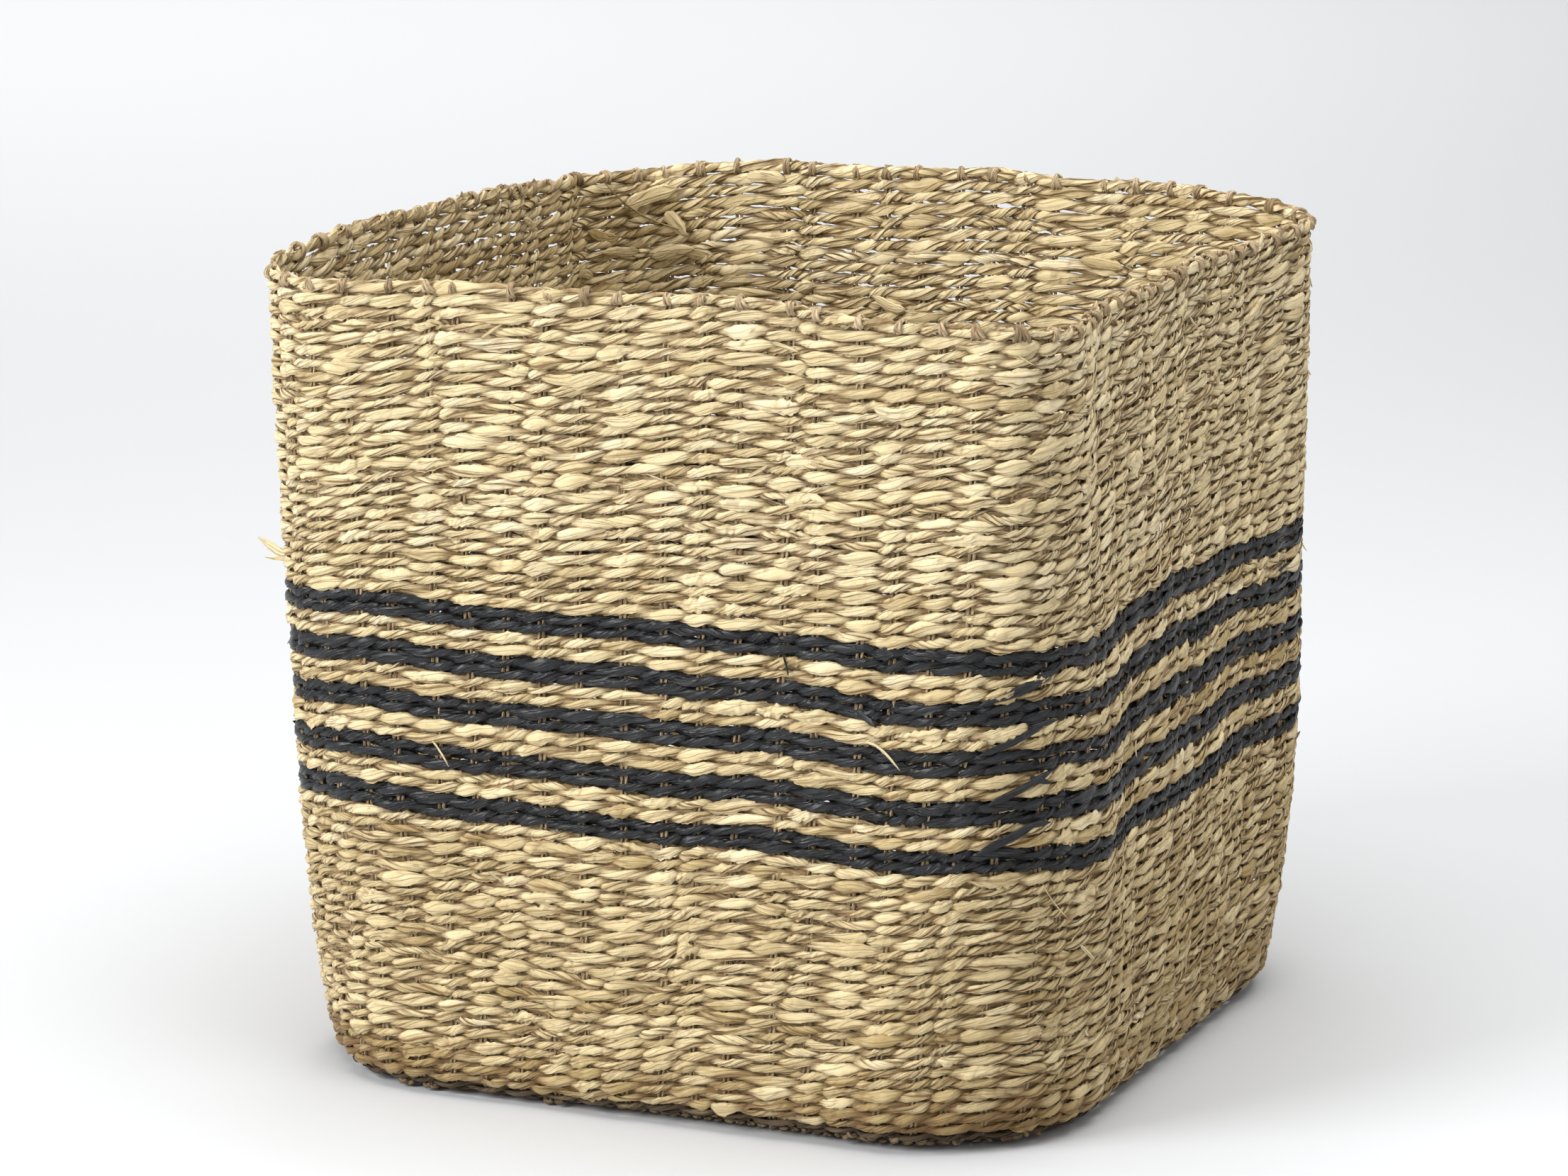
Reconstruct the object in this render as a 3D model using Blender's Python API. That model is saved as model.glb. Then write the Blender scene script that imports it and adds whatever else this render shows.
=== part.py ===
"""Square seagrass storage basket, in metres, +Z up.

The basket is twined: U-shaped cords, the stakes, run up one wall, across the base and up the
opposite wall, and two strands of seagrass are twisted round them in level courses. Each ring of
courses is one solid here, with a slot along each side in which that side's stakes stand.
"""

import math

import bmesh
import bpy
import numpy as np
from mathutils import Vector

# Plan of the outer face, at the rim and at the foot. The walls lean and bow a little.
RIM_WIDTH, RIM_DEPTH, RIM_RADIUS = 0.4255, 0.4230, 0.052
FOOT_WIDTH, FOOT_DEPTH, FOOT_RADIUS = 0.4160, 0.4312, 0.100
FOOT_SHIFT = (0.0032, 0.0016)  # the foot's centre, from the rim's
SWELL = 0.0055  # how far the walls stand out between the foot and the rim
# How far each wall's middle stands outside its corners at the rim, and how far the rim rises there.
BOW = {"front": -0.0086, "right": -0.0184, "back": 0.0216, "left": -0.0086}
RISE = {"front": 0.0051, "right": -0.0016, "back": 0.0061, "left": 0.0130}

COURSE = 0.006  # height of one course of twining
RIM_HEIGHT = 0.4005
UPPER_COURSES = 24
BAND_COURSES = 2
BLACK_BANDS = 5

SKIN, SLOT, LINING = 0.0028, 0.0038, 0.0028  # outer strands, room for the stakes, inner strands
WALL = SKIN + SLOT + LINING
EDGE_RADIUS = 0.018  # outer round between the base and the walls
MAT = 0.0019  # thickness of each layer of the base
GAP = 0.0003  # between pieces that touch
WEB = 0.002  # solid width left at each side of a corner between two slots

STAKES_PER_SIDE = 20
STAKE_HALF = 0.0011  # half the thickness of a stake
STAKE_MID = SKIN + SLOT / 2
HOOK_DROP = 0.0075  # how far a stake's end comes down in front of the rim
STEP_RUN = 0.008  # length over which a stake rises from the base into its slot

SIDES = ("front", "right", "back", "left")
HALF_SIDE = (0.40, 0.65, 0.80, 0.90)  # places of an outline's points, as parts of half a side
STAKE_HEIGHTS = (0.080, 0.150, 0.270)
EDGE_ANGLES = (90, 60, 30, 0)

COLOURS = {
    "natural_weave": ((0.62, 0.50, 0.29, 1), 0.70),
    "black_weave": ((0.025, 0.027, 0.031, 1), 0.60),
    "base_weave": ((0.17, 0.12, 0.07, 1), 0.75),
    "stake_cord": ((0.30, 0.20, 0.10, 1), 0.75),
}


def clear_scene():
    for old in list(bpy.data.objects):
        bpy.data.objects.remove(old, do_unlink=True)


def material(name):
    colour, roughness = COLOURS[name]
    made = bpy.data.materials.get(name) or bpy.data.materials.new(name)
    made.use_nodes = True
    made.diffuse_color = colour
    shader = made.node_tree.nodes["Principled BSDF"]
    shader.inputs["Base Color"].default_value = colour
    shader.inputs["Roughness"].default_value = roughness
    shader.inputs["Metallic"].default_value = 0.0
    return made


def mixed(low, high, share):
    return low + (high - low) * share


def outer_point(side, part, height):
    """Plan point of the outer face at a part, -1 to 1, of a side. Each side ends at the 45 degree points."""
    share = height / RIM_HEIGHT
    swell = SWELL * (1 - (1 - share) ** 3) - 0.45 * SWELL * share**3
    half_x = mixed(FOOT_WIDTH, RIM_WIDTH, share) / 2 + swell
    half_y = mixed(FOOT_DEPTH, RIM_DEPTH, share) / 2 + swell
    radius = mixed(FOOT_RADIUS, RIM_RADIUS, share)
    along, across = (half_x, half_y) if side in ("front", "back") else (half_y, half_x)
    straight = along - radius
    distance = abs(part) * (straight + radius * math.pi / 4)
    turn = max(distance - straight, 0) / radius
    s = math.copysign(min(distance, straight) + radius * math.sin(turn), part)
    out = across - radius * (1 - math.cos(turn))
    out += BOW[side] * share * (out / across) ** 3 * (1 - (s / along) ** 2)
    x, y = {"front": (s, -out), "right": (out, s), "back": (-s, out), "left": (-out, -s)}[side]
    return x + FOOT_SHIFT[0] * (1 - share), y + FOOT_SHIFT[1] * (1 - share)


def side_parts():
    """Places of the outline's points along one side, from just past one corner to just before the next."""
    end = 1 - WEB / 0.195
    half = (*HALF_SIDE, end)
    return [-part for part in reversed(half)] + [0.0, *half]


def outline(height):
    return np.array([outer_point(side, part, height) for side in SIDES for part in side_parts()])


def inset(points, distance):
    """An outline moved inwards, its edges staying parallel to where they were."""
    edges = np.roll(points, -1, axis=0) - points
    edges /= np.linalg.norm(edges, axis=1)[:, None]
    inward = np.stack([-edges[:, 1], edges[:, 0]], axis=1)
    before = np.roll(inward, 1, axis=0)
    mitre = (inward + before) / (1 + (inward * before).sum(axis=1))[:, None]
    return points + mitre * distance


def rise(side, part):
    """How far the rim stands above RIM_HEIGHT there."""
    along = {"front": RIM_WIDTH, "back": RIM_WIDTH}.get(side, RIM_DEPTH) / 2
    x, y = outer_point(side, part, RIM_HEIGHT)
    s = x if side in ("front", "back") else y
    return RISE[side] * max(0.0, 1 - (s / along) ** 2)


RISES = np.array([rise(side, part) for side in SIDES for part in side_parts()])


def wall_loop(height, depth, risen=0.0):
    """One closed loop of points at a depth inside the outer face, lifted by a share of the rim's rise."""
    plan = inset(outline(height), depth)
    return [Vector((x, y, height + risen * up)) for (x, y), up in zip(plan, RISES)]


def edge_loop(angle, depth):
    """A loop on the round between wall and base: 0 degrees meets the wall, 90 the base."""
    turn = math.radians(angle)
    reach = EDGE_RADIUS - depth
    plan = inset(outline(EDGE_RADIUS), EDGE_RADIUS - reach * math.cos(turn))
    return [Vector((x, y, EDGE_RADIUS - reach * math.sin(turn))) for x, y in plan]


def add_object(name, bm, slot):
    bmesh.ops.recalc_face_normals(bm, faces=bm.faces)
    mesh = bpy.data.meshes.new(name)
    bm.to_mesh(mesh)
    bm.free()
    mesh.shade_smooth()
    mesh.set_sharp_from_angle(angle=math.radians(40))
    mesh.materials.append(material(slot))
    made = bpy.data.objects.new(name, mesh)
    bpy.context.scene.collection.objects.link(made)
    return made


def ring(name, levels, slot):
    """A ring of courses. A level holds four loops: outer face, slot's two faces, inner face."""
    bm = bmesh.new()
    rows = [[[bm.verts.new(point) for point in loop] for loop in level] for level in levels]
    count = len(rows[0][0])
    per_side = count // len(SIDES)
    for j in range(count):
        k = (j + 1) % count
        web = k % per_side == 0
        for low, high in zip(rows, rows[1:]):
            for layer in (0, 3) if web else (0, 1, 2, 3):
                bm.faces.new((low[layer][j], low[layer][k], high[layer][k], high[layer][j]))
            if web:
                for end in (j, k):
                    bm.faces.new((low[1][end], low[2][end], high[2][end], high[1][end]))
        for cap in (rows[0], rows[-1]):
            for layer in (0, 1, 2) if web else (0, 2):
                bm.faces.new((cap[layer][j], cap[layer][k], cap[layer + 1][k], cap[layer + 1][j]))
    return add_object(name, bm, slot)


DEPTHS = (0.0, SKIN, SKIN + SLOT, WALL)


def wall_level(height, risen=0.0):
    return [wall_loop(height, depth, risen) for depth in DEPTHS]


def build_walls():
    band = BAND_COURSES * COURSE
    top = RIM_HEIGHT - COURSE
    bands_top = top - UPPER_COURSES * COURSE
    bands = 2 * BLACK_BANDS - 1
    bands_foot = bands_top - bands * band
    half_gap = GAP / 2
    edge = [[edge_loop(angle, depth) for depth in DEPTHS] for angle in EDGE_ANGLES]
    halfway = (EDGE_RADIUS + bands_foot) / 2
    ring("lower_wall", [*edge, wall_level(halfway), wall_level(bands_foot - half_gap)], "natural_weave")
    for i in range(bands):
        foot = bands_foot + i * band
        black = i % 2 == 0
        name = f"black_band_{i // 2 + 1}" if black else f"natural_band_{i // 2 + 1}"
        levels = [wall_level(foot + half_gap), wall_level(foot + band - half_gap)]
        ring(name, levels, "black_weave" if black else "natural_weave")
    upper = [wall_level(bands_top + half_gap), wall_level((bands_top + top) / 2, 0.5), wall_level(top, 1.0)]
    ring("upper_wall", upper, "natural_weave")
    return top


def build_rim_border(top):
    """The border course, in front of the stakes' ends, which hook over it."""
    low, high = top + GAP, RIM_HEIGHT
    mid = (low + high) / 2
    section = ((low, SKIN - GAP), (mid, SKIN), (high, SKIN - 2 * GAP), (high, GAP), (mid, -GAP), (low, GAP))
    bm = bmesh.new()
    loops = [[bm.verts.new(p) for p in wall_loop(z, depth, 1.0)] for z, depth in section]
    count = len(loops[0])
    for a, b in zip(loops, [*loops[1:], loops[0]]):
        for j in range(count):
            k = (j + 1) % count
            bm.faces.new((a[j], a[k], b[k], b[j]))
    add_object("rim_border", bm, "natural_weave")


def build_mat(name, foot):
    """One flat layer of the base, inside the round of the lower wall."""
    plan = inset(outline(EDGE_RADIUS), EDGE_RADIUS + GAP)
    bm = bmesh.new()
    face = bm.faces.new([bm.verts.new((x, y, foot)) for x, y in plan])
    grown = bmesh.ops.extrude_face_region(bm, geom=[face])
    lifted = [item for item in grown["geom"] if isinstance(item, bmesh.types.BMVert)]
    bmesh.ops.translate(bm, verts=lifted, vec=(0, 0, MAT))
    add_object(name, bm, "base_weave")


def on_loop(loop, side, part):
    """The point at a part of a side on one loop, and the loop's level direction there."""
    parts = side_parts()
    start = SIDES.index(side) * len(parts)
    j = max(i for i, place in enumerate(parts[:-1]) if place <= part)
    share = (part - parts[j]) / (parts[j + 1] - parts[j])
    a, b = loop[start + j], loop[start + j + 1]
    along = (b - a) * Vector((1, 1, 0))
    return a.lerp(b, share), along.normalized()


def stake_arm(side, part, top):
    """Points of a stake from its hook at the rim down to the base, with the wall's direction at each."""
    over = RIM_HEIGHT + GAP + STAKE_HALF
    front = -STAKE_HALF - 2 * GAP
    loops = [
        wall_loop(RIM_HEIGHT - HOOK_DROP, front, 1.0),
        wall_loop(over, front, 1.0),
        wall_loop(over, STAKE_MID, 1.0),
        *(wall_loop(height, STAKE_MID) for height in reversed(STAKE_HEIGHTS)),
        *(edge_loop(angle, STAKE_MID) for angle in reversed(EDGE_ANGLES)),
    ]
    return [on_loop(loop, side, part) for loop in loops]


def square_rod(name, points, levels):
    """A square rod along the points. levels holds each stretch's level sideways direction."""
    stretches = [(b - a).normalized() for a, b in zip(points, points[1:])]
    normals = [side.cross(run).normalized() for side, run in zip(levels, stretches)]
    bm = bmesh.new()
    sections = []
    for i, point in enumerate(points):
        before, after = max(i - 1, 0), min(i, len(stretches) - 1)
        across = (levels[before] + levels[after]) / (1 + levels[before].dot(levels[after]))
        out = (normals[before] + normals[after]) / (1 + normals[before].dot(normals[after]))
        corners = ((1, 1), (1, -1), (-1, -1), (-1, 1))
        sections.append([bm.verts.new(point + (across * u + out * v) * STAKE_HALF) for u, v in corners])
    for low, high in zip(sections, sections[1:]):
        for j in range(4):
            k = (j + 1) % 4
            bm.faces.new((low[j], low[k], high[k], high[j]))
    bm.faces.new(sections[0])
    bm.faces.new(sections[-1])
    add_object(name, bm, "stake_cord")


def build_stake(name, sides, part, level, top):
    """One stake, up both named sides at the same place. level is its height where it crosses the base."""
    arms = [stake_arm(sides[0], part, top), stake_arm(sides[1], -part, top)]
    ends = [arm[-1][0] for arm in arms]
    run = ((ends[1] - ends[0]) * Vector((1, 1, 0))).normalized()
    crossing = [ends[0] + run * STEP_RUN, ends[1] - run * STEP_RUN]
    for point in crossing:
        point.z = level
    points = [p for p, _ in arms[0]] + crossing + [p for p, _ in reversed(arms[1])]
    sideways = Vector((-run.y, run.x, 0))
    first = [a[1] for a in arms[0]]
    last = [-a[1] for a in reversed(arms[1])]
    mean = [(a + b).normalized() for a, b in zip(first, first[1:])]
    mean_last = [(a + b).normalized() for a, b in zip(last, last[1:])]
    flip = 1 if sideways.dot(first[-1]) > 0 else -1
    square_rod(name, points, mean + [sideways * flip] * 3 + mean_last)


def build_stakes(top):
    low = MAT + GAP + STAKE_HALF
    high = WALL - MAT - GAP - STAKE_HALF
    for i in range(STAKES_PER_SIDE):
        part = (2 * i + 1) / STAKES_PER_SIDE - 1
        build_stake(f"stake_left_right_{i + 1:02d}", ("left", "right"), part, low, top)
        build_stake(f"stake_front_back_{i + 1:02d}", ("front", "back"), part, high, top)


def centre_on_origin():
    """Moves every mesh so that the middle of the basket's box, at its foot, is the origin."""
    made = [o for o in bpy.data.objects if o.type == "MESH"]
    corners = np.array([v.co for o in made for v in o.data.vertices])
    low, high = corners.min(axis=0), corners.max(axis=0)
    shift = Vector((-(low[0] + high[0]) / 2, -(low[1] + high[1]) / 2, -low[2]))
    for o in made:
        for vertex in o.data.vertices:
            vertex.co += shift


def main():
    clear_scene()
    top = build_walls()
    build_rim_border(top)
    build_mat("base_under", 0.0)
    build_mat("base_inner", WALL - MAT)
    build_stakes(top)
    centre_on_origin()


main()
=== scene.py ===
"""Looks of the square seagrass basket: every strand, stake and knot of the twining, in metres."""

import math

import bpy
import numpy as np
from mathutils import Matrix, Vector


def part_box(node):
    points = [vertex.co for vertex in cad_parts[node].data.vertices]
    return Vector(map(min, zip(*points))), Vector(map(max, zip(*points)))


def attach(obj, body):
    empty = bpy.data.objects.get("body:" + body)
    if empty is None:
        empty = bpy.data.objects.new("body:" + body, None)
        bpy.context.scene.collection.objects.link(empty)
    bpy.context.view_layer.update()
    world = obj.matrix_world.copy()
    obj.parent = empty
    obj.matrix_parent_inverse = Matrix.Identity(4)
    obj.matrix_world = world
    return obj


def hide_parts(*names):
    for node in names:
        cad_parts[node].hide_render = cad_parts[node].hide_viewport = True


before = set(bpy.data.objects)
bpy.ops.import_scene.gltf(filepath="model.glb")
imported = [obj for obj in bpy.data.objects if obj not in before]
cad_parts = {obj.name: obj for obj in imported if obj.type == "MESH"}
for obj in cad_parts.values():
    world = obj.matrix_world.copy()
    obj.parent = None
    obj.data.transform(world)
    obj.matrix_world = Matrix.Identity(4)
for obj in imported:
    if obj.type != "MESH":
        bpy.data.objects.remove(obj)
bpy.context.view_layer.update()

# ---------------------------------------------------------------- driving dimensions, as in part.py
RIM_WIDTH, RIM_DEPTH, RIM_RADIUS = 0.4255, 0.4230, 0.052
FOOT_WIDTH, FOOT_DEPTH, FOOT_RADIUS = 0.4160, 0.4312, 0.100
FOOT_SHIFT = np.array((0.0032, 0.0016))
SWELL = 0.0055  # how far the walls stand out between foot and rim
BOW_FRONT, BOW_RIGHT, BOW_BACK, BOW_LEFT = -0.0086, -0.0184, 0.0216, -0.0086
RISE_FRONT, RISE_RIGHT, RISE_BACK, RISE_LEFT = 0.0051, -0.0016, 0.0061, 0.0130
COURSE = 0.006
RIM_HEIGHT = 0.4005
UPPER_COURSES, BAND_COURSES, BLACK_BANDS = 24, 2, 5
FOOT_COURSES = 2  # brown, at the base's edge
LOWER_COURSES = 24  # from the middle of the base's edge to the lowest black band
MID = 0.0036  # depth of the stakes inside the outer face
EDGE_RADIUS = 0.018
PER_SIDE = 20
STAKES = 4 * PER_SIDE

STEPS = 12  # sections of a strand from one stake to the next
SEED = 7

EDGE_MID = EDGE_RADIUS - MID
EDGE_ARC = EDGE_MID * math.pi / 2  # length of the round, along the stakes
TOP = RIM_HEIGHT - COURSE
BANDS_TOP = TOP - UPPER_COURSES * COURSE
BANDS_FOOT = BANDS_TOP - (2 * BLACK_BANDS - 1) * BAND_COURSES * COURSE


def frame_shift():
    """From the plan's own centre to the frame's, read off the base mat."""
    low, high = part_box("base_inner")
    middle = np.array(((low.x + high.x) / 2, (low.y + high.y) / 2))
    return middle - FOOT_SHIFT * (1 - EDGE_RADIUS / RIM_HEIGHT)


SHIFT = frame_shift()

# ---------------------------------------------------------------- the wall's surface


def plan(place, height):
    """Plan points of the outer face. place counts stakes round the basket, from the left of the front."""
    place = (np.asarray(place, float) + 0.5) % STAKES
    height = np.broadcast_to(np.clip(height, EDGE_RADIUS, None), place.shape)
    share = height / RIM_HEIGHT
    swell = SWELL * (1 - (1 - share) ** 3) - 0.45 * SWELL * share**3
    half_x = (FOOT_WIDTH + (RIM_WIDTH - FOOT_WIDTH) * share) / 2 + swell
    half_y = (FOOT_DEPTH + (RIM_DEPTH - FOOT_DEPTH) * share) / 2 + swell
    radius = FOOT_RADIUS + (RIM_RADIUS - FOOT_RADIUS) * share
    side = np.minimum((place // PER_SIDE).astype(int), 3)
    part = (place - side * PER_SIDE) / (PER_SIDE / 2) - 1
    facing_y = side % 2 == 0
    along = np.where(facing_y, half_x, half_y)
    across = np.where(facing_y, half_y, half_x)
    straight = along - radius
    distance = np.abs(part) * (straight + radius * math.pi / 4)
    turn = np.maximum(distance - straight, 0) / radius
    s = np.sign(part) * (np.minimum(distance, straight) + radius * np.sin(turn))
    out = across - radius * (1 - np.cos(turn))
    x = np.choose(side, (s, out, -s, -out))
    y = np.choose(side, (-out, s, out, -s))
    bow_y = np.where(y < 0, -BOW_FRONT, BOW_BACK) * share
    bow_x = np.where(x < 0, -BOW_LEFT, BOW_RIGHT) * share
    new_y = y + bow_y * np.abs(y / half_y) ** 3 * (1 - (x / half_x) ** 2)
    new_x = x + bow_x * np.abs(x / half_x) ** 3 * (1 - (y / half_y) ** 2)
    rise = np.where(y < 0, RISE_FRONT, RISE_BACK) * np.abs(y / half_y) ** 3 * (1 - (x / half_x) ** 2)
    rise += np.where(x < 0, RISE_LEFT, RISE_RIGHT) * np.abs(x / half_x) ** 3 * (1 - (y / half_y) ** 2)
    points = np.stack([new_x, new_y], -1) + FOOT_SHIFT * (1 - share)[..., None] + SHIFT
    return points, rise


def unit(v):
    return v / np.maximum(np.linalg.norm(v, axis=-1, keepdims=True), 1e-12)


FULL_RIGHT, FULL_HEIGHT = 0.0038, 0.14  # how far the right wall swells, and at what height most
TUCK_RIGHT, TUCK_LEFT = 0.0062, 0.0030  # how far the foot is drawn in, right and at the left corner
FOOT_RISE = 0.0028  # how far the right half of the front's foot is off the floor
BACK_RISE, LEFT_FALL = 0.0022, 0.0042  # the rim's rise along the back and fall at the back of the left


def stretch_of(place, middle, half_width, power=4):
    """1 about one place of the wall, falling to 0 either side."""
    return np.exp(-(((place - middle) / half_width) ** power))


def give(place, height):
    """How far the hand-made wall stands off the plan, outwards and upwards, in metres."""
    near_foot = stretch_of(height, 0.0, 0.040, 2)
    near_rim = np.clip((height - BANDS_TOP) / (TOP - BANDS_TOP), 0, None)
    full = FULL_RIGHT * stretch_of(height, FULL_HEIGHT, 0.09, 2)
    out = stretch_of(place, 33.0, 12.0) * (full - TUCK_RIGHT * near_foot)
    out = out - TUCK_LEFT * near_foot * stretch_of(place, 79.0, 4.0, 2)
    up = FOOT_RISE * near_foot * stretch_of(place, 14.5, 6.5)
    rim = BACK_RISE * stretch_of(place, 49.0, 8.0) - LEFT_FALL * stretch_of(place, 65.0, 7.0)
    return out, up + near_rim * rim


def wall(place, climb):
    """Points of the stakes' surface, with the directions along the course, outwards and up the wall.

    climb is the distance up the wall from the base, measured along a stake.
    """
    place, climb = np.broadcast_arrays(np.asarray(place, float), np.asarray(climb, float))
    angle = np.clip(climb / EDGE_MID, 0, math.pi / 2)
    height = np.where(climb < EDGE_ARC, EDGE_RADIUS - EDGE_MID * np.cos(angle), EDGE_RADIUS + climb - EDGE_ARC)
    outer, rise = plan(place, height)
    ahead, _ = plan(place + 0.05, height)
    behind, _ = plan(place - 0.05, height)
    along = unit(ahead - behind)
    outward = np.stack([along[..., 1], -along[..., 0]], -1)
    depth = np.where(climb < EDGE_ARC, EDGE_RADIUS - EDGE_MID * np.sin(angle), MID)
    off, raised = give(place % STAKES, height)
    flat = outer - outward * (depth - off)[..., None]
    lift = np.clip((height - BANDS_TOP) / (TOP - BANDS_TOP), 0, None) * rise + raised
    point = np.concatenate([flat, (height + lift)[..., None]], -1)
    level = np.zeros(place.shape + (1,))
    t = np.concatenate([along, level], -1)
    n = np.concatenate([outward * np.sin(angle)[..., None], -np.cos(angle)[..., None]], -1)
    b = np.concatenate([outward * np.cos(angle)[..., None], np.sin(angle)[..., None]], -1)
    return point, t, n, b


def climb_at(height):
    return EDGE_ARC + height - EDGE_RADIUS


# ---------------------------------------------------------------- slow unevenness of the whole weave

rng = np.random.default_rng(SEED)


class Drift:
    """A smooth random field over the wall, the same for every strand, periodic round the basket."""

    def __init__(self, size, waves, climb_waves, count):
        self.turns = rng.integers(1, waves + 1, count)
        self.up = rng.uniform(-climb_waves, climb_waves, count)
        self.phase = rng.uniform(0, 2 * math.pi, count)
        self.size = size / math.sqrt(count / 2)

    def __call__(self, place, climb):
        angle = 2 * math.pi * np.asarray(place)[..., None] * self.turns / STAKES
        angle = angle + np.asarray(climb)[..., None] * self.up + self.phase
        return self.size * np.sin(angle).sum(-1)


sag = Drift(0.0009, 14, 22.0, 24)  # courses rise and fall, in metres
lean = Drift(0.13, 36, 14.0, 30)  # stakes wander sideways, in stake spacings
bulge = Drift(0.0009, 22, 30.0, 24)  # the wall swells in and out, in metres


def settle(place, climb):
    """How much of the unevenness applies: none at the very foot."""
    return np.clip(climb / 0.05, 0, 1)


# ---------------------------------------------------------------- strands


def smooth_steps(values, steps):
    """Values at the stakes, eased from one to the next, for a closed course."""
    nxt = np.roll(values, -1, axis=0)
    t = np.arange(steps) / steps
    ease = t * t * (3 - 2 * t)
    ease = ease.reshape((1, -1) + (1,) * (values.ndim - 1))
    out = values[:, None] + (nxt - values)[:, None] * ease
    return out.reshape((-1,) + values.shape[1:])


def leaf_runs(count, low, high, pick):
    """One value per stake, the same along each leaf, a leaf reaching low to high stakes."""
    values = []
    while len(values) < count:
        values += [pick()] * int(rng.integers(low, high))
    return np.roll(np.array(values[:count]), int(rng.integers(count)))


class Style:
    """How a weft looks: its strands' sizes and how they are twisted."""

    def __init__(self, thin, puffy, share_puffy, scatter, crease, rough):
        self.thin, self.puffy, self.share_puffy = thin, puffy, share_puffy
        self.scatter, self.crease, self.rough = scatter, crease, rough


NATURAL = Style(0.00222, 0.00285, 0.50, 0.19, 1.3, 0.100)
BLACK = Style(0.00225, 0.00270, 0.50, 0.12, 1.3, 0.095)
BROWN = Style(0.00200, 0.00240, 0.30, 0.14, 1.0, 0.060)

FRONT_OFFSET = 0.0015  # how far a strand goes before and behind a stake
CROSS_OFFSET = 0.00115  # how far apart, up and down, two strands cross between stakes
CROSS_HALF = 0.00195  # a strand's half height there
SHADED_INSIDE = 2.2  # how much painted shade darkens the left wall's inside, as a tone
INSIDE_FULLER = 0.00040  # strands lie fuller on the inside, where little pulls them tight

# A strand is three leaves rolled into one another. For each point of a section: its leaf, its share
# of that leaf's span, and its radius.
LEAF = np.array([0, 0, 0, 0, 0, 1, 1, 1, 2, 2, 2])
SHARE = np.array([0.05, 0.28, 0.54, 0.80, 1.0, 0.08, 0.52, 1.0, 0.08, 0.52, 1.0])
RADIUS = np.array([1.0, 0.97, 0.93, 0.96, 1.05, 1.0, 0.93, 1.05, 1.0, 0.93, 1.05])
TUCKED = np.array([0, 5, 8])  # the points where a leaf goes under the one before
EDGES = np.array([4, 7, 10])  # the points at a leaf's free edge
ROUND = len(LEAF)


HALF_LIMITS = (0.00150, 0.0043)  # of a strand's half height


def strand_sections(style, count, steps):
    """Half height, half thickness, twist, leaf spans, roughness and tone at every section."""
    fat = leaf_runs(count, 6, 20, lambda: float(rng.random() < style.share_puffy))
    base = np.where(fat > 0.5, style.puffy, style.thin)
    half = base * np.exp(rng.normal(0, style.scatter, count))
    half = np.clip(half, *HALF_LIMITS)
    slim = np.clip((0.0030 - half) / 0.0011, 0, 1)  # 1 for a thin strand, which is twisted more
    turns = (0.15 + 0.72 * slim) * rng.uniform(0.55, 1.35, count)
    turns *= leaf_runs(count, 9, 22, lambda: 1.0 if rng.random() < 0.9 else -1.0)
    rate = smooth_steps(turns, steps) / steps
    twist = np.cumsum(rate) - rate[0]
    total = twist[-1] + rate[0]
    closing = (round(total) - total) / len(twist)
    twist = 2 * math.pi * (twist + closing * np.arange(len(twist)) + rng.random())
    spans = np.stack([205 - 40 * slim, 90 + 20 * slim, 65 + 20 * slim], -1)
    spans *= np.exp(rng.normal(0, 0.20, (count, 3)))
    spans *= 2 * math.pi / spans.sum(-1, keepdims=True)
    depth = style.crease * (0.13 + 0.13 * slim)[:, None] * rng.uniform(0.3, 1.5, (count, 3))
    scrunched = leaf_runs(count, 1, 9, lambda: 1.8 if rng.random() < 0.25 else 1.0)
    crumple = style.rough * scrunched * rng.lognormal(0, 0.4, count)
    tone = leaf_runs(count, 9, 22, lambda: float(rng.normal(0, 1)))
    tone = tone * 0.65 + rng.normal(0, 0.35, count)
    return {
        "belly": half,
        "half": smooth_steps(half, steps),
        "thick": smooth_steps(0.00088 + 0.11 * half, steps),
        "twist": twist,
        "spans": smooth_steps(spans, steps),
        "depth": smooth_steps(depth, steps),
        "crumple": smooth_steps(crumple, steps),
        "tone": smooth_steps(tone, steps),
    }


def ring_noise(count, rows, width):
    """Random numbers round a closed strand, smoothed over a few sections."""
    noise = rng.normal(0, 1, (count, rows))
    kernel = np.hanning(width + 2)[1:-1]
    kernel /= np.sqrt((kernel**2).sum())
    spectrum = np.fft.rfft(noise, axis=0)
    padded = np.zeros(count)
    padded[: len(kernel)] = kernel
    return np.fft.irfft(spectrum * np.fft.rfft(padded)[:, None], count, axis=0)


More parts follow.
